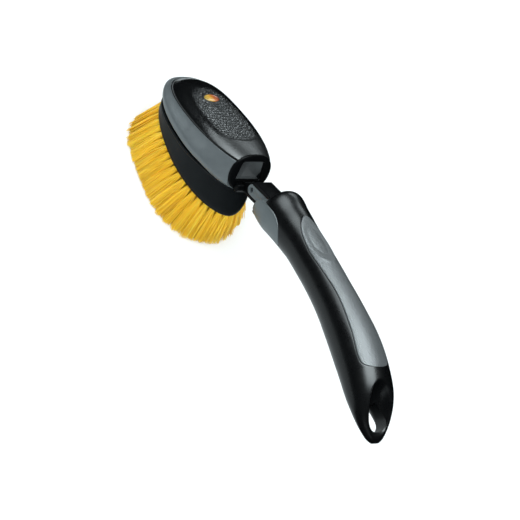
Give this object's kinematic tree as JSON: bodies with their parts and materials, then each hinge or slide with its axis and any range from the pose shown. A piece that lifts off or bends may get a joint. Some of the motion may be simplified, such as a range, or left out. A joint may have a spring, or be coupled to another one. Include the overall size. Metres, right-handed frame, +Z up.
{
  "type": "wheel brush",
  "caption": "Hand wheel brush: an oval bristle head with a soft bumper tilts and locks on a short forked neck; the curved handle has a soft grip, a release trigger and a hanging hole.",
  "frame": {"origin": "bottom centre of the whole object's box, at the height of the bristle tips", "axes": "+X from the tail of the handle towards the tip of the head, +Y to the left seen from the tail, +Z up; bristle tips level at z = 0"},
  "size_m": [0.3099, 0.0792, 0.1058],
  "materials": {
    "handle_black": "satin",
    "grip_grey": "fine grained",
    "neck_grey": "matte",
    "neck_black": "matte",
    "pin_steel": "plain",
    "block_black": "satin",
    "bumper_grey": "smooth",
    "cap_black": "pebble grain",
    "badge_amber": "glossy",
    "recess_grey": "matte",
    "bristle_yellow": "satin"
  },
  "bodies": {
    "handle": {"handle_body": "handle_black", "grip_overmould": "grip_grey", "neck_plate_left": "neck_grey", "neck_plate_right": "neck_grey", "neck_core": "neck_black", "hinge_pin": "pin_steel", "neck_pins": "pin_steel", "lock_spring": "pin_steel"},
    "release": {"release_trigger": "neck_grey", "lock_bar": "neck_black", "trigger_screw": "pin_steel"},
    "head": {"index_knuckle": "block_black", "knuckle_screws": "pin_steel", "brush_block": "block_black", "head_housing": "block_black", "bumper_band": "bumper_grey", "top_cap": "cap_black", "cap_badge": "badge_amber", "socket_ring": "block_black", "socket_insert": "recess_grey", "block_screws": "pin_steel", "tufts_stance": "bristle_yellow", "tufts_row_1": "bristle_yellow", "tufts_row_2": "bristle_yellow", "tufts_row_3": "bristle_yellow", "tufts_row_4": "bristle_yellow", "tuft_anchors": "pin_steel"}
  },
  "joints": [
    {"name": "head_tilt", "type": "hinge", "parent": "handle", "child": "head", "pos_m": [0.0484, 0, 0.06], "axis": [0, -1, 0], "range_deg": [-40, 40]},
    {"name": "release_slide", "type": "slide", "parent": "handle", "child": "release", "axis": [0.9063, 0, -0.4226], "range_m": [0, 0.002], "stiffness_N_per_m": 500, "springref_m": 0.004, "deforming": ["lock_spring"]}
  ]
}
